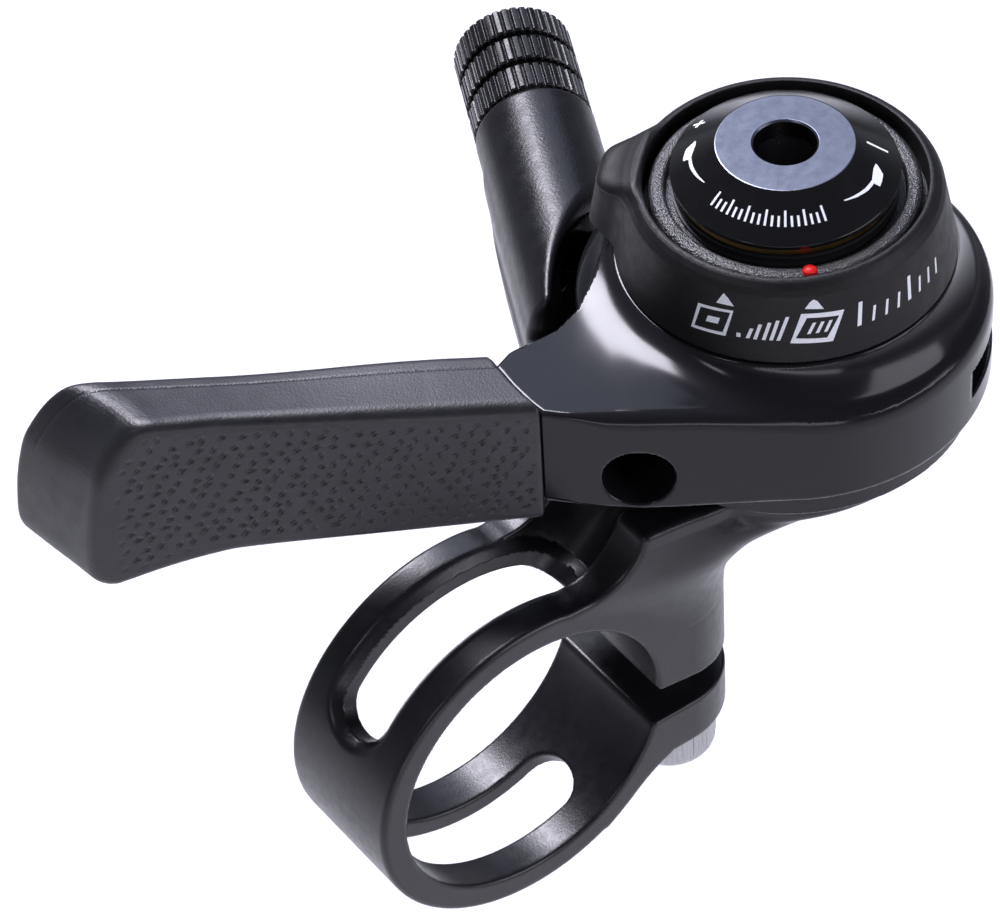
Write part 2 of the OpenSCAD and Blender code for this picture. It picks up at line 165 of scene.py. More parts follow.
# ---- meshes ----
def linked(name, mesh):
    obj = bpy.data.objects.new(name, mesh)
    bpy.context.scene.collection.objects.link(obj)
    return obj


def unit(vectors):
    return vectors / np.maximum(np.linalg.norm(vectors, axis=-1, keepdims=True), 1e-9)


def make_mesh(name, verts, quads, normals=None):
    """an object from points in millimetres and quads, smooth, with its own normals where given"""
    mesh = bpy.data.meshes.new(name)
    verts = np.asarray(verts, np.float64) * MM
    quads = np.asarray(quads, np.int32)
    n, k = quads.shape
    mesh.vertices.add(len(verts))
    mesh.vertices.foreach_set("co", verts.astype(np.float32).ravel())
    mesh.loops.add(n * k)
    mesh.loops.foreach_set("vertex_index", quads.ravel())
    mesh.polygons.add(n)
    mesh.polygons.foreach_set("loop_start", np.arange(0, n * k, k, dtype=np.int32))
    mesh.polygons.foreach_set("use_smooth", np.full(n, normals is not None))
    mesh.update(calc_edges=True)
    mesh.validate()
    if normals is not None:
        mesh.normals_split_custom_set_from_vertices(normals.astype(np.float32))
    return linked(name, mesh)


def gradient(field, points, reach=0.01):
    """the field's slope at each point"""
    slope = np.empty_like(points)
    for i in range(3):
        step = np.zeros(3)
        step[i] = reach
        slope[:, i] = (field(*(points + step).T) - field(*(points - step).T)) / (2 * reach)
    return slope


BLOCK = 4  # grid steps along a block's side


def sample(field, lo, hi, step):
    """the field on a grid: every point in the blocks near its surface, and one value for a far block"""
    count = np.ceil((np.array(hi, float) - lo) / (step * BLOCK)).astype(int)
    centres = [lo[i] + ((np.arange(count[i]) + 0.5) * BLOCK - 0.5) * step for i in range(3)]
    cx, cy, cz = np.meshgrid(*centres, indexing="ij")
    coarse = field(cx.ravel(), cy.ravel(), cz.ravel()).reshape(count)
    grid = coarse.astype(np.float32)
    for axis in range(3):
        grid = np.repeat(grid, BLOCK, axis=axis)
    near = np.argwhere(np.abs(coarse) < 1.6 * BLOCK * step)
    offsets = np.stack(np.meshgrid(*[np.arange(BLOCK)] * 3, indexing="ij"), -1).reshape(-1, 3)
    index = (near[:, None, :] * BLOCK + offsets[None]).reshape(-1, 3)
    grid[tuple(index.T)] = field(*(lo + index * step).T)
    return grid


def crossed_cells(inside):
    """the grid cells with corners on both sides of the surface, and each one's number on the grid"""
    halves = (slice(None, -1), slice(1, None))
    corners = sum(inside[a, b, c].astype(np.int8) for a in halves for b in halves for c in halves)
    cells = np.argwhere((corners > 0) & (corners < 8))
    number = np.full(corners.shape, -1, np.int32)
    number[tuple(cells.T)] = np.arange(len(cells))
    return cells, number


def cell_points(grid, cells):
    """a point for each cell, in grid steps: the mean of the places where its edges cross the surface"""
    total = np.zeros((len(cells), 3))
    hits = np.zeros(len(cells))
    for d in range(3):
        for i in (0, 1):
            for j in (0, 1):
                start = np.zeros(3, int)
                start[(d + 1) % 3], start[(d + 2) % 3] = i, j
                end = start.copy()
                end[d] = 1
                f0 = grid[tuple((cells + start).T)].astype(float)
                f1 = grid[tuple((cells + end).T)].astype(float)
                cross = (f0 < 0) != (f1 < 0)
                t = np.where(cross, f0 / np.where(cross, f0 - f1, 1), 0)
                total += np.where(cross[:, None], start + t[:, None] * (end - start), 0)
                hits += cross
    return cells + total / hits[:, None]


def cell_quads(inside, number):
    """a quad round every grid edge that crosses the surface, facing outwards"""
    quads = []
    for d in range(3):
        u, v = (d + 1) % 3, (d + 2) % 3
        lower = [slice(None)] * 3
        upper = [slice(None)] * 3
        lower[d], upper[d] = slice(0, -1), slice(1, None)
        first, second = inside[tuple(lower)], inside[tuple(upper)]
        edge = np.argwhere(first != second)
        edge = edge[(edge[:, u] > 0) & (edge[:, v] > 0)]
        edge = edge[(edge[:, u] < number.shape[u]) & (edge[:, v] < number.shape[v])]
        du, dv = np.eye(3, dtype=int)[u], np.eye(3, dtype=int)[v]
        around = (edge, edge - du, edge - du - dv, edge - dv)
        quad = np.stack([number[tuple(cell.T)] for cell in around], 1)
        flip = ~first[tuple(edge.T)]
        quad[flip] = quad[flip][:, ::-1]
        quads.append(quad)
    quads = np.concatenate(quads)
    return quads[(quads >= 0).all(1)]


def field_mesh(name, field, lo, hi, step):
    """meshes the zero surface of a field with surface nets, then draws the points onto it"""
    lo = np.array(lo, float)
    grid = sample(field, lo, hi, step)
    inside = grid < 0
    cells, number = crossed_cells(inside)
    points = lo + cell_points(grid, cells) * step
    for _ in range(4):
        slope = gradient(field, points)
        move = (field(*points.T) / np.maximum((slope * slope).sum(1), 0.05))[:, None] * slope
        size = np.linalg.norm(move, axis=1, keepdims=True)
        points = points - move * np.minimum(1, 0.7 * step / np.maximum(size, 1e-9))
    return make_mesh(name, points, cell_quads(inside, number), unit(gradient(field, points)))


def rounded(profile, steps):
    """points and normals of a closed profile of (radius, height, corner radius)"""
    area = sum(a[0] * b[1] - b[0] * a[1] for a, b in zip(profile, profile[1:] + profile[:1]))
    if area < 0:
        profile = profile[::-1]
    out = []
    for i, (px, pz, radius) in enumerate(profile):
        p = np.array((px, pz))
        d1 = p - profile[i - 1][:2]
        d2 = np.array(profile[(i + 1) % len(profile)][:2]) - p
        l1, l2 = np.linalg.norm(d1), np.linalg.norm(d2)
        d1, d2 = d1 / l1, d2 / l2
        turn = math.atan2(d1[0] * d2[1] - d1[1] * d2[0], d1 @ d2)
        reach = min(radius * math.tan(abs(turn) / 2), 0.45 * min(l1, l2))
        radius = math.copysign(reach / math.tan(abs(turn) / 2), turn)
        n1 = np.array((d1[1], -d1[0]))
        centre = p - d1 * reach - n1 * radius
        for k in range(steps + 1):
            c, s = math.cos(turn * k / steps), math.sin(turn * k / steps)
            normal = np.array((n1[0] * c - n1[1] * s, n1[0] * s + n1[1] * c))
            out.append((*(centre + normal * radius), *normal))
    return np.array(out)


def turned(name, profile, origin, axis, segments=144, steps=5, relief=None):
    """sweeps the profile round an axis. Relief gives the depth cut away at (height, radius, angle)"""
    pts = rounded(profile, steps)
    angle = np.arange(segments) * 2 * math.pi / segments
    axis = np.array(axis, float)
    e1 = unit(np.cross(axis, UP if abs(axis[2]) < 0.9 else (1, 0, 0)))
    e2 = np.cross(axis, e1)
    r, h, nr, nh = (np.repeat(pts[:, i:i + 1], segments, 1) for i in range(4))
    tilt = np.zeros_like(r)
    if relief:
        turn = 0.002
        rise = relief(h, r, angle[None, :] + turn) - relief(h, r, angle[None, :] - turn)
        tilt = rise / (2 * turn * r)
        r = r - relief(h, r, angle[None, :])
    radial = np.cos(angle)[:, None] * e1 + np.sin(angle)[:, None] * e2
    tangent = -np.sin(angle)[:, None] * e1 + np.cos(angle)[:, None] * e2
    verts = np.array(origin) + r[..., None] * radial + h[..., None] * axis
    normals = unit(nr[..., None] * radial + nh[..., None] * axis + (tilt * nr)[..., None] * tangent)
    rows = len(pts)
    i, j = np.meshgrid(np.arange(rows), np.arange(segments), indexing="ij")
    i2, j2 = (i + 1) % rows, (j + 1) % segments
    quads = np.stack([i * segments + j, i * segments + j2, i2 * segments + j2, i2 * segments + j], -1)
    return make_mesh(name, verts.reshape(-1, 3), quads.reshape(-1, 4), normals.reshape(-1, 3))


# ---- clamp bracket ----
CLAMP_R = 13.3
EAR_X, EAR_R = 14.3, 5.6  # the ears' round end, where the neck also starts
SLOT_MIDDLE_R, SLOT_HALF = 12.2, 2.45
SLOT_CHAMFER_R, SLOT_CHAMFER = 12.55, 0.75
SLOT_INNER_R = 6
NECK_Z, NECK_H = 5, 10.35
NECK_SHIFT, NECK_GROWTH, NECK_POWER = 12.6, 6.0, 3.2
DISC_R, DISC_Z, DISC_SHIFT = 11.6, 15.2, 0.4
THROAT_X, THROAT_Z, THROAT_R = 5.5, 17.6, 5.0  # the hollow between the clamp and the base
WEB = [(3.9, 6), (3.9, 12.6), (10.4, BASE_Z), (20.5, BASE_Z), (20.5, -3), (9, -3)]
EARS = [(9, -2), (20.5, -2), (20.5, EAR_Z), (12.4, EAR_Z), (8.6, -9.5), (6.2, -11.7), (5, -10)]
SLIT = [(8, -3.46), (8, -0.36), (11.1, -0.36), (22, -2.1), (22, -3.9)]
BOLT_HOLE_R, BOLT_SEAT_R = 2.1, 4.1


def band_slot(radius, angle, y, start, end, middle):
    """a lightening slot along the band, between two angles in degrees, with its outer edge eased"""
    nearest = np.clip(angle, math.radians(start), math.radians(end))
    reach = np.hypot(SLOT_MIDDLE_R * (angle - nearest), y - middle)
    eased = 0.9 * np.clip(radius - SLOT_CHAMFER_R, 0, SLOT_CHAMFER)
    return np.maximum(reach - SLOT_HALF - eased, SLOT_INNER_R - radius)


def neck_field(x, y, z):
    """the round neck, which leans and widens as it rises to the disc under the head"""
    rise = np.clip((z - NECK_Z) / NECK_H, 0, 1)
    bend = rise ** NECK_POWER
    growth = (NECK_SHIFT + NECK_GROWTH) * NECK_POWER / NECK_H
    slope = growth * np.maximum(rise, 1e-6) ** (NECK_POWER - 1)
    radius = np.hypot(x - EAR_X - NECK_SHIFT * bend, y)
    neck = (radius - EAR_R - NECK_GROWTH * bend) / np.sqrt(1 + slope ** 2)
    disc = smax(np.hypot(x - HEAD_X + DISC_SHIFT, y) - DISC_R, DISC_Z - z, 0.6)
    return smin(smax(neck, NECK_Z - 0.5 - z, 0.3), disc, 0.8)


def bracket_field(x, y, z):
    """the band and its ears, joined to the neck, with the slots, the slit, the bore and the bolt's hole"""
    radius = np.hypot(x, z)
    angle = np.arctan2(z, x)
    body = smin(radius - CLAMP_R, polygon(x, z, WEB), 0.5)
    body = smin(body, polygon(x, z, EARS), 0.8)
    body = smax(body, THROAT_R - np.hypot(x - THROAT_X, z - THROAT_Z), 0.5)
    plan = np.where(x < EAR_X, np.abs(y) - EAR_R, np.hypot(x - EAR_X, y) - EAR_R)
    body = smax(body, plan, 0.5)
    # the neck stands apart from the ears and melts into the web above them
    f = smin(body, neck_field(x, y, z), 0.05 + 3.0 * smoothstep((z - 4.5) / 8))
    f = smax(f, z - BASE_Z, 0.5)
    f = smax(f, -band_slot(radius, angle, y, 62, 142, 0.17), 0.3)
    f = smax(f, -band_slot(radius, angle, y, -138, -68, -0.25), 0.3)
    f = smax(f, -polygon(x, z, SLIT), 0.25)
    f = smax(f, BORE_R - radius, 0.35)
    bolt = np.hypot(x - BOLT_X, y)
    f = smax(f, BOLT_HOLE_R - bolt, 0.15)
    return smax(f, -np.maximum(bolt - BOLT_SEAT_R, z - EAR_Z), 0.15)


BRACKET_BOX = (-14.2, -12.4, -14.2), (39.4, 12.4, 17.6)
bracket = field_mesh("bracket_shell", bracket_field, *BRACKET_BOX, step=0.24)
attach(bracket, "base")
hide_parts("clamp_bracket")


# ---- cable stop: the base under the lever, with the boss for the barrel ----
BASE_R, BASE_H = 13.4, 1.9
BOSS_R, BOSS_START, BOSS_END = 4.48, 2, 23.3
FOOT = [(2, BASE_Z), (11.5, BASE_Z), (19.5, 18.5), (19.5, CABLE_Z), (2, CABLE_Z)]
FOOT_HALF = 4.4
COLLAR_ROOM_R = 16.4
CABLE_HOLE_R, PIVOT_HOLE_R = 1.3, 7.0
TAIL_BORE_R, TAIL_BORE_START = 2.96, 9.0
SLEEVE_BORE_R, SLEEVE_BORE_START = 3.75, 16.6


def stop_field(x, y, z):
    """the base's disc, and the boss on its foot, stepped out for the barrel's tail and its sleeve"""
    along, side = cable_frame(x, y)
    radius = head_radius(x, y)
    cable = np.hypot(side, z - CABLE_Z)
    disc = smax(radius - BASE_R, np.abs(z - BASE_Z - BASE_H / 2) - BASE_H / 2, 0.3)
    boss = smax(cable - BOSS_R, along - BOSS_END, 0.35)
    boss = smax(boss, BOSS_START - along, 1.0)
    foot = smax(polygon(along, z, FOOT), np.abs(side) - FOOT_HALF, 1.5)
    boss = smax(smin(boss, foot, 1.0), COLLAR_ROOM_R - radius, 0.9)
    low = smax(smin(foot, disc, 0.8), z - BASE_Z - BASE_H, 0.3)
    f = smin(np.minimum(disc, low), boss, 0.6)
    f = smax(f, BASE_Z - z, 0.3)
    f = smax(f, CABLE_HOLE_R - cable, 0.2)
    f = smax(f, -np.maximum(cable - TAIL_BORE_R, TAIL_BORE_START - along), 0.3)
    f = smax(f, -np.maximum(cable - SLEEVE_BORE_R, SLEEVE_BORE_START - along), 0.2)
    return smax(f, PIVOT_HOLE_R - radius, 0.2)


stop = field_mesh("cable_stop_shell", stop_field, *grown_box("cable_stop_body", 0.6), step=0.2)
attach(stop, "base")
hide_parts("cable_stop_body")


# ---- lever: a collar with the cable's groove, and the arm, in the arm's frame (u, v) ----
COLLAR_R = 14.4
SHOULDER_R, SHOULDER_FLARE, SHOULDER_POWER, SHOULDER_Z = 11.95, 2.0, 1.7, 30.2
RIDGE_Z, RIDGE_CLIMB = 26.35, 2.3
HOLLOW_R, HOLLOW_Z, BUSH_R = 10.45, 21.2, 6.0
GROOVE_R, GROOVE_HALF = 13.0, 1.22
GROOVE_START, GROOVE_END = -66, 158
SEAT_U, SEAT_V, SEAT_R = 11.8, 5.5, MOUNTS["cable_nipple_seat"]["dims"]["r_mm"]
CABLE_WAY_R, CABLE_WAY_START, CABLE_WAY_END = 1.1, -11, 4
ARM_PLAN = [
    (0, 14.4), (3, 14.4), (9.5, 14.45), (11.6, 14.4), (14.0, 14.1), (16.3, 13.6), (18.2, 13.05),
    (19.1, 11.9), (20.0, 10.4), (21.1, 8.2), (20.0, 6.8), (18.6, 5.8), (16.7, 4.8), (15.2, 3.2),
    (13.8, 0.4), (12.5, -3.0), (11.6, -4.6), (6, -2), (0, 8),
]


def shoulder_field(radius, z, ridge):
    """the dished shoulder that rises from the ridge to the ring"""
    t = np.clip((SHOULDER_Z - z) / (SHOULDER_Z - ridge), 0, 1)
    outer = SHOULDER_R + SHOULDER_FLARE * t ** SHOULDER_POWER
    slope = SHOULDER_FLARE * SHOULDER_POWER * t ** (SHOULDER_POWER - 1) / (SHOULDER_Z - ridge)
    return smax((radius - outer) / np.sqrt(1 + slope ** 2), z - SHOULDER_Z + 0.2, 0.2)


def lever_field(x, y, z):
    """the arm and the collar with its shoulder, hollow inside, with the groove and the nipple's seat"""
    u, v = arm_frame(x, y)
    radius = head_radius(x, y)
    arm = polygon(u, v, ARM_PLAN)
    # the band's top edge climbs along the front towards the arm, and stays low behind
    near = np.maximum(smoothstep((v - 1) / 6), smoothstep(0.4 - arm / 0.8))
    ridge = RIDGE_Z + RIDGE_CLIMB * smoothstep((u + 6) / 19) * near
    plan = smin(radius - COLLAR_R, arm, 0.05 + 0.6 * smoothstep((9 - v) / 3))
    slab = smax(plan, z - ridge, 1.25 - 0.8 * smoothstep((u - 13) / 4))
    f = smin(slab, shoulder_field(radius, z, ridge), 1.0 + 1.0 * smoothstep((u - 2) / 9))
    f = smax(f, COLLAR_Z + 0.04 * np.maximum(u, 0) - z, 0.5)
    f = smax(f, -np.maximum(radius - HOLLOW_R, HOLLOW_Z - z), 0.2)
    f = smax(f, BUSH_R - radius, 0.2)
    # the groove runs out towards its start
    angle = np.degrees(np.arctan2(y, x - HEAD_X))
    floor = GROOVE_R + 1.5 * smoothstep((-57 - angle) / 9)
    groove = np.maximum(floor - radius, np.abs(z - CABLE_Z) - GROOVE_HALF)
    ends = np.maximum(angle - GROOVE_END, GROOVE_START - angle) * 0.24
    f = smax(f, -np.maximum(groove, ends), 0.15)
    seat = np.hypot(u - SEAT_U, z - CABLE_Z) - SEAT_R
    f = smax(f, -np.maximum(seat, SEAT_V - v), 0.25)
    along, side = cable_frame(x, y)
    way = np.maximum(np.hypot(side, z - CABLE_Z) - CABLE_WAY_R, along - CABLE_WAY_END)
    return smax(f, -np.maximum(way, CABLE_WAY_START - along), 0.1)


LEVER_BOX = (4.0, -15.4, 18.6), (42.4, 15.2, 30.6)
lever = field_mesh("lever_shell", lever_field, *LEVER_BOX, step=0.2)
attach(lever, "lever_arm")
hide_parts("lever")


# ---- grip, in the arm's frame (u, v) ----
# side view at the front face: the top to the tip, round the nose, and back below
GRIP_SIDE = [(15, 29.35), (26, 30.0)]
GRIP_SIDE += spline([
    (35.5, 30.75), (42.5, 31.3), (44.6, 31.5), (45.8, 31.2), (46.9, 30.1), (47.9, 28.6), (48.8, 26.8),
    (49.3, 24.8), (49.7, 22.4), (49.95, 19.8), (50.0, 18.2), (49.75, 17.2), (49.0, 16.65), (48.2, 16.5),
])
GRIP_SIDE += spline([
    (46.9, 16.8), (45.1, 17.25), (42.5, 17.75), (39.5, 18.1), (36.0, 18.25), (31.0, 18.32),
], 3)
GRIP_SIDE += [(15, 18.65)]
GRIP_PLAN = [(15, 7.9), (15, 13.45), (40, 13.55), (48.6, 14.5), (60, 15.6), (60, 7.9)]
GRIP_ROOT = [
    (5, 20), (18.35, 20), (18.35, 13.1), (19.25, 12.0), (20.15, 10.5), (21.3, 8.2), (21.3, 0), (5, 0),
]
DIMPLE_ROW, DIMPLE_PITCH, DIMPLE_DEPTH = 0.86, 1.2, 0.12
SEAM_V, SEAM_HALF, SEAM_DEPTH = 9.3, 0.085, 0.05


def dimples(u, z):
    """the moulded dimples over the front face: slanted dashes in rows, each a little out of place"""
    row = np.round(z / DIMPLE_ROW)
    deepest = np.zeros(np.shape(u))
    for r in (row - 1, row, row + 1):
        shift = (r % 2) * 0.5 * DIMPLE_PITCH + 0.35 * np.sin(r * 12.9898)
        col = np.round((u - shift) / DIMPLE_PITCH)
        for c in (col - 1, col, col + 1):
            h = scatter(c * 78.233 + r * 37.719, 43758.5453)
            g = scatter(c * 39.346 + r * 11.135, 24634.6345)
            du = u - (c * DIMPLE_PITCH + shift + (h - 0.5) * 0.5)
            dz = z - (r * DIMPLE_ROW + (g - 0.5) * 0.35)
            tilt = math.radians(44) + (h - 0.5) * 0.8
            along = -du * np.cos(tilt) + dz * np.sin(tilt)
            across = du * np.sin(tilt) + dz * np.cos(tilt)
            reach = np.hypot(along / (0.27 + 0.14 * g), across / 0.17)
            deepest = np.maximum(deepest, np.clip(1.3 - reach, 0, 1.3))
    return deepest


def grip_field(x, y, z):
    """the grip round the arm's root, with its dimples and its parting line"""
    u, v = arm_frame(x, y)
    # towards the back the tip reaches further out and the top lies lower
    back = np.clip((14.2 - v) / 6.0, -0.3, 1.1)
    along = u - 4.9 * back * smoothstep((u - 36) / 17)
    high = z + 1.0 * back * smoothstep((z - 19) / 9) * smoothstep((u - 24) / 16)
    edge = 0.75 + 0.45 * smoothstep((v - 10) / 3) * smoothstep((z - 26) / 3)
    side = polygon(along, high, GRIP_SIDE)
    f = smax(side, polygon(u, v, GRIP_PLAN), edge)
    f = smax(f, -polygon(u, v, GRIP_ROOT), 0.3)
    # the dimples fade out before the front face's edges, and the parting line runs along the top
    front = np.clip((v - 12.6) / 0.5, 0, 1) * np.clip((-side - 0.9) / 0.6, 0, 1)
    front *= np.clip((48.0 - u) / 1.0, 0, 1)
    seam = np.exp(-((v - SEAM_V) / SEAM_HALF) ** 2) * np.clip(z - 25, 0, 1)
    return f + DIMPLE_DEPTH * front * np.clip((u - 18.8) / 0.4, 0, 1) * dimples(u, z) + SEAM_DEPTH * seam


GRIP_CORNERS = [
    (HEAD_X + u * ARM_COS - v * ARM_SIN, u * ARM_SIN + v * ARM_COS) for u in (15, 56) for v in (7, 16)
]
GRIP_BOX = (*np.min(GRIP_CORNERS, 0), 15.4), (*np.max(GRIP_CORNERS, 0), 31.2)
grip = field_mesh("grip_shell", grip_field, *GRIP_BOX, step=0.14)
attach(grip, "lever_arm")
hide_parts("lever_grip")


# ---- mode ring ----
RING_SECTION = [
    (10.27, 30.32), (11.83, 30.32), (10.90, 35.45), (10.66, 35.92), (10.36, 36.22), (10.15, 36.33),
    (9.99, 36.33), (9.99, 34.12), (10.27, 34.12),
]
RING_EASE = 0.12
RING_BORE_R, RING_LIP_R, RING_LIP_Z = 10.15, 9.87, 33.95
RING_OPENING_R = 9.8
TAB_ANGLE = math.radians(131)
TAB_REACH, TAB_HALF, TAB_Z = 14.0, 1.65, 36.2


def tab_field(x, y, z):
    """the finger tab, which leans in as it rises and widens at its top"""
    dx = x - HEAD_X
    out = dx * math.cos(TAB_ANGLE) + y * math.sin(TAB_ANGLE)
    side = y * math.cos(TAB_ANGLE) - dx * math.sin(TAB_ANGLE)
    reach = TAB_REACH - 0.17 * (z - 30.6)
    half = TAB_HALF - 0.1 * (out - 11) + 1.1 * smoothstep((z - 34.3) / 1.2)
    tab = smax(np.abs(side) - half, out - reach, 1.7)
    tab = smax(tab, z - TAB_Z + 0.16 * (out - 10), 0.8)
    tab = smax(tab, 30.45 - z, 0.3)
    return smax(tab, 10.6 - out, 0.2)


def ring_field(x, y, z):
    """the ring's section swept round, with the tab and a lip inside its top"""
    radius = head_radius(x, y)
    f = smin(polygon(radius, z, RING_SECTION) - RING_EASE, tab_field(x, y, z), 1.7)
    f = smax(f, RING_Z - z, 0.1)
    f = smax(f, np.where(z > RING_LIP_Z, RING_LIP_R, RING_BORE_R) - radius, 0.12)
    # inside the opening, only the distance to the lip counts
    return np.where(radius < RING_OPENING_R, RING_LIP_R - radius, f)


ring = field_mesh("mode_ring_shell", ring_field, *grown_box("mode_ring", 0.5), step=0.15)
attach(ring, "mode_selector")
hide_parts("mode_ring")


# ---- turned pieces in the head: profiles of (radius, height, corner radius) ----
DIAL_TOP_R, DIAL_TOP_Z = 4.84, 39.66
DIAL_RIM_R, DIAL_RIM_Z = 7.96, 37.35
dial = turned("dial_shell", [
    (5.03, 33.4, 0.1), (6.05, 33.4, 0.1), (6.05, 36.9, 0.1), (7.82, 36.9, 0.12),
    (DIAL_RIM_R, 37.05, 0.1), (DIAL_RIM_R, DIAL_RIM_Z, 0.12), (DIAL_TOP_R, DIAL_TOP_Z, 0.28),
    (2.34, 39.68, 0.08), (2.2, 39.54, 0.06), (2.2, 38.2, 0.05), (5.03, 38.2, 0.05),
], HEAD, UP, segments=180)
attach(dial, "dial")
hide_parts("tension_dial")

cover = turned("cover_shell", [
    (5.05, 27.55, 0.1), (9.6, 27.55, 0.2), (9.6, 33.1, 0.1), (10.09, 33.1, 0.1), (10.09, 33.9, 0.1),
    (9.45, 33.9, 0.05), (9.5, 35.9, 0.55), (8.3, 35.9, 0.55), (8.35, 35.2, 0.1), (6.2, 35.2, 0.1),
    (6.2, 33.1, 0.1), (5.05, 33.1, 0.1),
], HEAD, UP, segments=180)
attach(cover, "base")
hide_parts("cover_ring")

brass_ring = turned("brass_washer_shell", [
    (6.15, 36.35, 0.08), (7.7, 36.35, 0.08), (7.7, 36.85, 0.08), (6.15, 36.85, 0.08),
], HEAD, UP, segments=144, steps=3)
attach(brass_ring, "base")
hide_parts("brass_washer")


# ---- barrel adjuster, with heights measured along the cable ----
CABLE_FOOT = (HEAD_X - CABLE_R * CABLE_DIR[1], CABLE_R * CABLE_DIR[0], CABLE_Z)
FLUTES, FLUTE_DEPTH, FLUTE_HALF = 40, 0.24, 0.26
KNURLS = ((23.62, 26.2), (26.75, 29.3), (29.85, 32.5))
KNURL_R, KNURL_ROOT_R, KNURL_BEVEL = 4.44, 3.9, 0.16
TAIL_R, TAIL_START, TAIL_END = 2.9, 9.4, 23.52
BARREL_HOLE_R, SOCKET_FLOOR, BARREL_END = 1.1, 26.2, 32.68


def knurl(h, r, angle):
    """the depth of the flutes, which are turned a little from one knurled ring to the next"""
    depth = np.zeros(np.broadcast(h, r, angle).shape)
    for i, (start, end) in enumerate(KNURLS):
        t = (angle * FLUTES / (2 * math.pi) + 0.37 * i) % 1 - 0.5
        groove = 0.5 + 0.5 * np.cos(math.pi * np.clip(np.abs(t) / FLUTE_HALF, 0, 1))
        on_knurl = (h > start - 0.05) & (h < end + 0.05) & (r > KNURL_ROOT_R)
        cut = FLUTE_DEPTH * np.clip((r - KNURL_ROOT_R) / 0.45, 0, 1) * groove
        depth = np.where(on_knurl, cut, depth)
    return depth


def barrel_profile():
    """the tail, three knurled rings with grooves between them, and the socket for the housing"""
    out = [(BARREL_HOLE_R, TAIL_START, 0.1), (TAIL_R, TAIL_START, 0.3), (TAIL_R, TAIL_END, 0.05)]
    for i, (start, end) in enumerate(KNURLS):
        out += [(KNURL_ROOT_R if i else 3.6, start, 0.05), (4.3, start, 0.08)]
        out += [(KNURL_R, start + KNURL_BEVEL, 0.08), (KNURL_R, end - KNURL_BEVEL, 0.08)]
        out += [(4.3, end, 0.08)]
        out += [(KNURL_ROOT_R, end, 0.05)] if i < 2 else []
    out += [(4.0, BARREL_END, 0.15), (3.2, BARREL_END, 0.15), (SOCKET_R, 32.4, 0.05)]
    return out + [(SOCKET_R, SOCKET_FLOOR, 0.1), (BARREL_HOLE_R, SOCKET_FLOOR, 0.1)]


barrel = turned(
    "barrel_shell", barrel_profile(), CABLE_FOOT, CABLE_DIR, segments=FLUTES * 10, steps=3, relief=knurl,
)
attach(barrel, "barrel")
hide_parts("barrel_adjuster")


# ---- clamp bolt and washer ----
BOLT_HEAD_R, BOLT_HEAD_Z, BOLT_HEAD_HALF = 3.5, -11.05, 2.35
BOLT_RIBS, BOLT_RIB_DEPTH, BOLT_RIB_Z = 48, 0.07, -12.9
SHANK_R, SHANK_BOTTOM, SHANK_TOP = 2.0, -9, 7.4
HEX_HALF, HEX_TOP = 1.7, -10.8


def bolt_field(x, y, z):
    """the ribbed head with its hexagon socket, and the plain shank"""
    dx = x - BOLT_X
    radius = np.hypot(dx, y)
    ribs = BOLT_RIB_DEPTH * np.cos(BOLT_RIBS * np.arctan2(y, dx)) * np.clip((z - BOLT_RIB_Z) / 0.3, 0, 1)
    side = radius - BOLT_HEAD_R - (ribs - BOLT_RIB_DEPTH) + 0.25 * np.clip(BOLT_RIB_Z - z, 0, 1)
    head = smax(side, np.abs(z - BOLT_HEAD_Z) - BOLT_HEAD_HALF, 0.5)
    shank = smax(radius - SHANK_R, z - SHANK_TOP, 0.3)
    shank = smax(shank, SHANK_BOTTOM - z, 0.1)
    slants = np.maximum(np.abs(0.5 * dx + 0.866 * y), np.abs(0.5 * dx - 0.866 * y))
    hexagon = np.maximum(np.abs(dx), slants) - HEX_HALF
    return smax(smin(head, shank, 0.2), -smax(hexagon, z - HEX_TOP, 0.2), 0.2)


bolt = field_mesh("clamp_bolt_shell", bolt_field, *grown_box("clamp_bolt", 0.5), step=0.18)
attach(bolt, "base")
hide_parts("clamp_bolt")

WASHER_Z = bottom("bolt_washer")
washer = turned("bolt_washer_shell", [
    (2.15, WASHER_Z, 0.1), (3.9, WASHER_Z, 0.2), (3.9, EAR_Z, 0.2), (2.15, EAR_Z, 0.1),
], (BOLT_X, 0, 0), UP, segments=96, steps=4)
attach(washer, "base")
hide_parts("bolt_washer")


# ---- printed marks: thin closed patches laid on the ring and on the dial's cone ----
MARK_LIFTS = (0.03, -0.06)  # a patch's face and its hidden back, above the surface


def on_ring(angle, z, lift):
    """a point on the ring's outside, from an angle in degrees and a height"""
    radius = 11.95 - 0.187 * (z - 30.32) + lift
    angle = np.radians(angle)
    return np.stack([HEAD_X + radius * np.cos(angle), radius * np.sin(angle), z], -1)


def on_dial(angle, radius, lift):
    """a point on the dial's cone, from an angle in degrees and a radius"""
    slope = (DIAL_TOP_Z - DIAL_RIM_Z) / (DIAL_RIM_R - DIAL_TOP_R)
    normal = np.array((slope, 1.0)) / math.hypot(slope, 1)
    z = DIAL_RIM_Z + (DIAL_RIM_R - radius) * slope + lift * normal[1]
    angle, radius = np.radians(angle), radius + lift * normal[0]
    return np.stack([HEAD_X + radius * np.cos(angle), radius * np.sin(angle), z], -1)


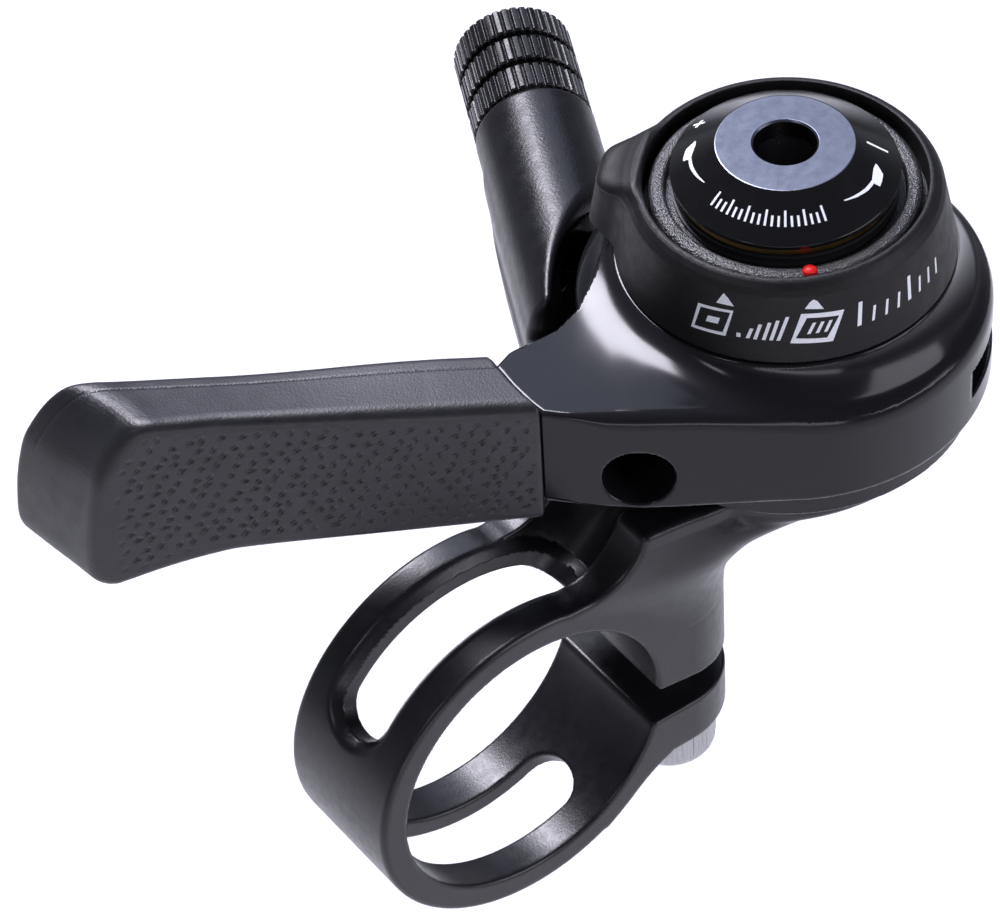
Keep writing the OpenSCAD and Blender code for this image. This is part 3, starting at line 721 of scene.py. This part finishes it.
class Marks:
    """patches collected on one surface. Facing is 1 where its two directions turn outwards, else -1"""

    def __init__(self, surface, facing):
        self.surface, self.facing = surface, facing
        self.verts, self.quads, self.count = [], [], 0

    def patch(self, a, b, c, d, n=8, m=2):
        """a patch between four corners in turn, each (angle, height or radius), with n by m quads"""
        t, u = np.meshgrid(np.linspace(0, 1, n + 1), np.linspace(0, 1, m + 1), indexing="ij")
        t, u = t[..., None], u[..., None]
        a, b, c, d = (np.array(q, float) for q in (a, b, c, d))
        p = (1 - u) * ((1 - t) * a + t * b) + u * ((1 - t) * d + t * c)
        skins = [self.surface(p[..., 0], p[..., 1], lift).reshape(-1, 3) for lift in MARK_LIFTS]
        if np.cross(b - a, d - a) * self.facing < 0:
            skins.reverse()
        size = (n + 1) * (m + 1)
        grid = np.arange(size).reshape(n + 1, m + 1) + self.count
        front = np.stack([grid[:-1, :-1], grid[1:, :-1], grid[1:, 1:], grid[:-1, 1:]], -1).reshape(-1, 4)
        rim = np.concatenate([grid[:, 0], grid[-1, 1:], grid[-2::-1, -1], grid[0, -2:0:-1]])
        after = np.roll(rim, -1)
        sides = np.stack([rim, rim + size, after + size, after], -1)
        self.quads += [front, front[:, ::-1] + size, sides]
        self.verts += skins
        self.count += 2 * size

    def outline(self, corners, width):
        """a frame of four bars inside a quadrilateral"""
        outer = np.array(corners, float)
        inwards = outer.mean(0) - outer
        inner = outer + width * inwards / np.abs(inwards)
        for i in range(4):
            j = (i + 1) % 4
            self.patch(outer[i], outer[j], inner[j], inner[i])

    def bar(self, start, end, half):
        """a stroke between two points, half its width as an (angle, height) step"""
        start, end, half = (np.array(q, float) for q in (start, end, half))
        self.patch(start - half, end - half, end + half, start + half, 4)

    def build(self, name):
        return make_mesh(name, np.concatenate(self.verts), np.concatenate(self.quads))


def add_framed_symbols(marks):
    """two framed fields with a triangle over each, and rising bars between them"""
    marks.patch((206.65, 34.34), (213.3, 34.4), (209.5, 35.3), (209.3, 35.3))
    marks.outline([(199.85, 33.8), (213.2, 34.05), (210.9, 31.9), (198.1, 31.7)], (1.1, 0.22))
    marks.patch((203.4, 32.6), (207.9, 32.7), (208.5, 33.2), (204.0, 33.1))
    marks.patch((214.7, 32.06), (216.1, 32.06), (216.1, 32.38), (214.7, 32.38))
    rising = (
        ((218.55, 32.08), (219.9, 32.9)), ((221.1, 32.07), (222.8, 33.3)), ((224.0, 32.09), (226.0, 33.5)),
        ((226.5, 32.1), (228.8, 33.7)), ((228.9, 32.1), (232.1, 34.0)),
    )
    for foot, tip in rising:
        marks.bar(foot, tip, (0.62, 0.0))
    marks.patch((238.1, 34.58), (244.75, 34.4), (241.5, 35.44), (241.3, 35.44))
    marks.outline([(236.8, 34.2), (252.0, 34.0), (247.3, 31.7), (232.9, 31.9)], (1.9, 0.36))
    for i in range(3):
        marks.bar((239.2 + 2.9 * i, 32.55), (241.3 + 2.9 * i, 33.4), (0.6, 0.0))


def add_ring_scale(marks):
    """eight leaning strokes, every fourth longer"""
    for i in range(8):
        tip_z, half = (34.2, 0.75) if i % 4 == 0 else (33.5, 0.5)
        marks.bar((257.0 + 5.3 * i, 32.35), (258.2 + 5.3 * i, tip_z), (half, 0.0))


def add_plus_and_minus(marks):
    """a plus from a bar and a patch across it, and a minus"""
    marks.bar((106.4, 6.95), (113.6, 6.95), (0.0, 0.11))
    marks.patch((109.1, 6.5), (110.9, 6.5), (110.9, 7.4), (109.1, 7.4))
    marks.patch((326.4, 5.6), (328.2, 5.6), (328.0, 7.05), (326.6, 7.05))


def add_arrows(marks):
    """two curved arrows, each from its tip: (degrees round from the tip, inner radius, outer radius)"""
    rows = [
        (0, 6.25, 6.35), (4, 6.2, 6.85), (9, 6.3, 6.95), (13, 6.42, 7.0), (14.5, 6.42, 6.62),
        (22, 6.4, 6.6), (31, 6.3, 6.45), (40, 6.18, 6.24),
    ]
    for turn, tip in ((1, 129.3), (-1, 311.3)):
        for (a0, in0, out0), (a1, in1, out1) in zip(rows, rows[1:]):
            start, end = tip + turn * a0, tip + turn * a1
            marks.patch((start, in0), (end, in1), (end, out1), (start, out0), 4)


def add_dial_scale(marks):
    """nineteen strokes, every third longer"""
    for i in range(19):
        angle = 184 + 3.95 * i
        inner = 5.95 if i % 3 == 0 else 6.25
        foot = (angle - 0.75, inner), (angle + 0.75, inner)
        head = (angle + 0.7, 6.85), (angle - 0.7, 6.85)
        marks.patch(*foot, *head, 3)


marks = Marks(on_ring, 1)
add_framed_symbols(marks)
add_ring_scale(marks)
ring_marks = marks.build("ring_marks")
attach(ring_marks, "mode_selector")

marks = Marks(on_dial, -1)
add_plus_and_minus(marks)
add_arrows(marks)
add_dial_scale(marks)
dial_marks = marks.build("dial_marks")
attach(dial_marks, "dial")


# ---- red marker ----
MARKER_R, MARKER_ANGLE = 8.92, math.radians(242)
MARKER = (HEAD_X + MARKER_R * math.cos(MARKER_ANGLE), MARKER_R * math.sin(MARKER_ANGLE), 0)
marker = turned("marker_shell", [
    (0.02, 35.6, 0.005), (0.56, 35.6, 0.02), (0.56, 35.85, 0.05), (0.46, 36.08, 0.15),
    (0.22, 36.2, 0.15), (0.02, 36.22, 0.005),
], MARKER, UP, segments=48, steps=4)
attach(marker, "base")
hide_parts("marker_dot")


# ---- materials ----
class Shader:
    """a Principled material whose colour, roughness and fine relief vary with noise on the object"""

    def __init__(self, name, color, rough, metal=0.0, spec=0.5):
        self.mat = bpy.data.materials.new(name)
        self.mat.use_nodes = True
        self.tree = self.mat.node_tree
        self.bsdf = self.tree.nodes["Principled BSDF"]
        self.bsdf.inputs["Base Color"].default_value = (*color, 1)
        self.bsdf.inputs["Roughness"].default_value = rough
        self.bsdf.inputs["Metallic"].default_value = metal
        self.bsdf.inputs["Specular IOR Level"].default_value = spec
        self.coords = self.tree.nodes.new("ShaderNodeTexCoord")

    def noise(self, per_mm, detail):
        node = self.tree.nodes.new("ShaderNodeTexNoise")
        node.inputs["Scale"].default_value = per_mm / MM
        node.inputs["Detail"].default_value = detail
        self.tree.links.new(self.coords.outputs["Object"], node.inputs["Vector"])
        return node.outputs["Fac"]

    def bump(self, source, height):
        node = self.tree.nodes.new("ShaderNodeBump")
        node.inputs["Distance"].default_value = height * MM
        node.inputs["Strength"].default_value = 1.0
        self.tree.links.new(source, node.inputs["Height"])
        self.tree.links.new(node.outputs["Normal"], self.bsdf.inputs["Normal"])

    def vary_roughness(self, source, low, high):
        node = self.tree.nodes.new("ShaderNodeMapRange")
        node.inputs["From Min"].default_value = 0.3
        node.inputs["From Max"].default_value = 0.7
        node.inputs["To Min"].default_value = low
        node.inputs["To Max"].default_value = high
        self.tree.links.new(source, node.inputs["Value"])
        self.tree.links.new(node.outputs["Result"], self.bsdf.inputs["Roughness"])

    def tint(self, source, dark, light):
        node = self.tree.nodes.new("ShaderNodeValToRGB")
        ends = node.color_ramp.elements
        ends[0].position, ends[1].position = 0.35, 0.65
        ends[0].color = (*dark, 1)
        ends[1].color = (*light, 1)
        self.tree.links.new(source, node.inputs["Fac"])
        self.tree.links.new(node.outputs["Color"], self.bsdf.inputs["Base Color"])


def put(obj, shader):
    obj.data.materials.clear()
    obj.data.materials.append(shader.mat)


satin_black = Shader("satin_black", (0.008, 0.008, 0.010), 0.34)
satin_black.tint(satin_black.noise(0.25, 3), (0.006, 0.006, 0.008), (0.010, 0.010, 0.013))
satin_black.vary_roughness(satin_black.noise(1.3, 3), 0.28, 0.38)
satin_black.bump(satin_black.noise(5.5, 2), 0.010)

boss_black = Shader("boss_black", (0.006, 0.006, 0.008), 0.32, spec=0.4)
boss_black.tint(boss_black.noise(0.4, 3), (0.005, 0.005, 0.007), (0.008, 0.008, 0.011))
boss_black.vary_roughness(boss_black.noise(1.1, 3), 0.28, 0.38)
boss_black.bump(boss_black.noise(4.5, 2), 0.018)

lever_black = Shader("lever_black", (0.011, 0.011, 0.0135), 0.15, spec=0.32)
lever_black.vary_roughness(lever_black.noise(0.3, 2), 0.13, 0.17)
lever_black.bump(lever_black.noise(0.35, 1), 0.004)

grip_rubber = Shader("grip_rubber", (0.008, 0.008, 0.012), 0.43, spec=0.66)
grip_rubber.tint(grip_rubber.noise(0.6, 4), (0.006, 0.006, 0.009), (0.010, 0.010, 0.015))
grip_rubber.vary_roughness(grip_rubber.noise(0.8, 3), 0.39, 0.47)
grip_rubber.bump(grip_rubber.noise(6, 2), 0.020)

ring_black = Shader("ring_black", (0.006, 0.006, 0.007), 0.5, spec=0.32)
ring_black.vary_roughness(ring_black.noise(1.0, 3), 0.45, 0.56)
ring_black.bump(ring_black.noise(6, 2), 0.014)

cover_black = Shader("cover_black", (0.02, 0.02, 0.021), 0.3, spec=0.9)
cover_black.bump(cover_black.noise(7.5, 2), 0.11)
cover_black.tint(cover_black.noise(8.5, 2), (0.006, 0.006, 0.006), (0.06, 0.06, 0.065))

dial_black = Shader("dial_black", (0.005, 0.005, 0.006), 0.16)
dial_black.vary_roughness(dial_black.noise(0.8, 2), 0.13, 0.2)
dial_black.bump(dial_black.noise(2.0, 1), 0.003)

dial_face = Shader("dial_face", (0.14, 0.15, 0.185), 0.3, metal=1.0)
dial_face.vary_roughness(dial_face.noise(1.6, 3), 0.28, 0.38)
dial_face.bump(dial_face.noise(5, 2), 0.004)

barrel_black = Shader("barrel_black", (0.004, 0.004, 0.005), 0.28, spec=0.4)
barrel_black.vary_roughness(barrel_black.noise(1.5, 2), 0.22, 0.34)
barrel_black.bump(barrel_black.noise(6, 2), 0.008)

steel = Shader("steel", (0.46, 0.465, 0.47), 0.32, metal=1.0)
steel.vary_roughness(steel.noise(2.0, 3), 0.26, 0.40)
steel.bump(steel.noise(5, 2), 0.006)

brass = Shader("brass", (0.30, 0.19, 0.06), 0.35, metal=1.0)
brass.vary_roughness(brass.noise(1.5, 2), 0.28, 0.42)
brass.bump(brass.noise(5, 2), 0.004)

spring_steel = Shader("spring_steel", (0.06, 0.06, 0.065), 0.5, metal=0.8)
spring_steel.vary_roughness(spring_steel.noise(2.0, 2), 0.45, 0.6)
spring_steel.bump(spring_steel.noise(5, 2), 0.006)

nylon = Shader("nylon", (0.62, 0.60, 0.54), 0.5)
nylon.tint(nylon.noise(0.6, 2), (0.58, 0.56, 0.50), (0.66, 0.64, 0.58))
nylon.bump(nylon.noise(4, 2), 0.01)

marker_red = Shader("marker_red", (0.75, 0.012, 0.012), 0.25)
marker_red.tint(marker_red.noise(2.0, 2), (0.68, 0.010, 0.010), (0.80, 0.016, 0.016))
marker_red.bump(marker_red.noise(4.0, 2), 0.01)

ring_rubber = Shader("ring_rubber", (0.02, 0.02, 0.02), 0.6)
ring_rubber.bump(ring_rubber.noise(5, 2), 0.01)

print_white = Shader("print_white", (0.90, 0.93, 0.98), 0.5)
print_white.tint(print_white.noise(3.0, 3), (0.86, 0.89, 0.95), (0.94, 0.96, 1.0))
print_white.bump(print_white.noise(6, 2), 0.006)

BY_SLOT = {
    "satin_black": satin_black, "bolt_steel": steel, "bright_steel": steel, "boss_black": boss_black,
    "screw_steel": spring_steel, "nylon": nylon, "lever_black": lever_black,
    "grip_rubber": grip_rubber, "bronze": brass, "carrier_plastic": nylon, "plate_steel": steel,
    "cam_plastic": ring_black, "ring_black": ring_black, "cover_black": cover_black,
    "marker_red": marker_red, "brass_bright": brass, "spring_steel": spring_steel,
    "dial_black": dial_black, "sleeve_plastic": nylon, "ring_rubber": ring_rubber,
    "barrel_black": barrel_black,
}
for sub in frame["record"]["subparts"]:
    put(NODES[sub["node"]], BY_SLOT[sub["material_slot"]])
for obj, shader in (
    (bracket, satin_black), (stop, boss_black), (lever, lever_black), (grip, grip_rubber),
    (ring, ring_black), (cover, cover_black), (dial, dial_black), (brass_ring, brass),
    (barrel, barrel_black), (bolt, steel), (washer, steel), (marker, marker_red),
    (ring_marks, print_white), (dial_marks, print_white),
):
    put(obj, shader)
# the dial's flat top is machined
dial.data.materials.append(dial_face.mat)
for face in dial.data.polygons:
    centre = face.center / MM
    if centre.z > DIAL_TOP_Z - 0.06 and head_radius(centre.x, centre.y) < DIAL_TOP_R + 0.02:
        face.material_index = 1


# ---- camera ----
CAMERA_PLACE = Vector((-145.4, -218.1, 293.9))
CAMERA_RIGHT = Vector((0.8031, -0.5944, -0.0410))
CAMERA_UP = Vector((0.4487, 0.5582, 0.6979))

cam_data = bpy.data.cameras.new("camera")
cam_data.sensor_width = 36
cam_data.lens = 198
cam_data.clip_start = 0.01
cam = bpy.data.objects.new("camera", cam_data)
bpy.context.scene.collection.objects.link(cam)
bpy.context.scene.camera = cam
camera_back = CAMERA_RIGHT.cross(CAMERA_UP).normalized()
rotation = Matrix((CAMERA_RIGHT, CAMERA_UP, camera_back)).transposed().to_4x4()
cam.matrix_world = Matrix.Translation(CAMERA_PLACE * MM) @ rotation


# ---- floor and sky, in metres ----
FLOOR_HALF, FLOOR_Z = 5.0, -0.2
SQUARE = ((-1, -1), (1, -1), (1, 1), (-1, 1))
mesh = bpy.data.meshes.new("floor")
mesh.from_pydata([(x * FLOOR_HALF, y * FLOOR_HALF, FLOOR_Z) for x, y in SQUARE], [], [(0, 1, 2, 3)])
floor = linked("floor", mesh)
floor_pale = Shader("floor", (0.9, 0.9, 0.9), 0.9, spec=0.1)
floor_pale.tint(floor_pale.noise(0.01, 2), (0.89, 0.89, 0.89), (0.92, 0.92, 0.92))
put(floor, floor_pale)

world = bpy.data.worlds.new("world")
bpy.context.scene.world = world
world.use_nodes = True
tree = world.node_tree
coords = tree.nodes.new("ShaderNodeTexCoord")
split = tree.nodes.new("ShaderNodeSeparateXYZ")
ramp = tree.nodes.new("ShaderNodeValToRGB")
horizon, overhead = ramp.color_ramp.elements
horizon.position, overhead.position = 0.0, 0.28
horizon.color = (0.34, 0.35, 0.37, 1)
overhead.color = (0.10, 0.105, 0.125, 1)
tree.links.new(coords.outputs["Generated"], split.inputs[0])
tree.links.new(split.outputs["Z"], ramp.inputs["Fac"])
tree.links.new(ramp.outputs["Color"], tree.nodes["Background"].inputs["Color"])


# ---- lights: softboxes that all face the middle of the object ----
LAMP_TARGET = Vector((18, 0, 20)) * MM
NEUTRAL = (0.97, 0.95, 1.07)
COOL = (0.86, 0.96, 1.25)


def softbox(name, way, distance, size, radiance, tint=NEUTRAL):
    """a rectangular lamp in a direction from the object, with the radiance of its face"""
    data = bpy.data.lights.new(name, "AREA")
    data.shape = "RECTANGLE"
    data.size, data.size_y = size
    data.energy = radiance * math.pi * size[0] * size[1]
    data.color = tint
    lamp = bpy.data.objects.new(name, data)
    bpy.context.scene.collection.objects.link(lamp)
    way = Vector(way).normalized()
    lamp.location = LAMP_TARGET + way * distance
    lamp.rotation_euler = (-way).to_track_quat("-Z", "Y").to_euler()


softbox("key", (0.05, 0.57, 0.82), 0.7, (0.19, 0.48), 27)
softbox("sheen", (0.39, 0.58, 0.715), 1.0, (0.7, 0.7), 1.15, COOL)
softbox("front_right", (0.50, -0.80, 0.33), 0.8, (0.6, 0.45), 3.2)
softbox("front_low", (-0.50, -0.85, -0.07), 1.0, (0.9, 0.14), 3)
softbox("left_top", (-0.77, -0.19, 0.64), 0.8, (0.15, 0.15), 5)

bpy.context.scene.view_settings.view_transform = "Standard"
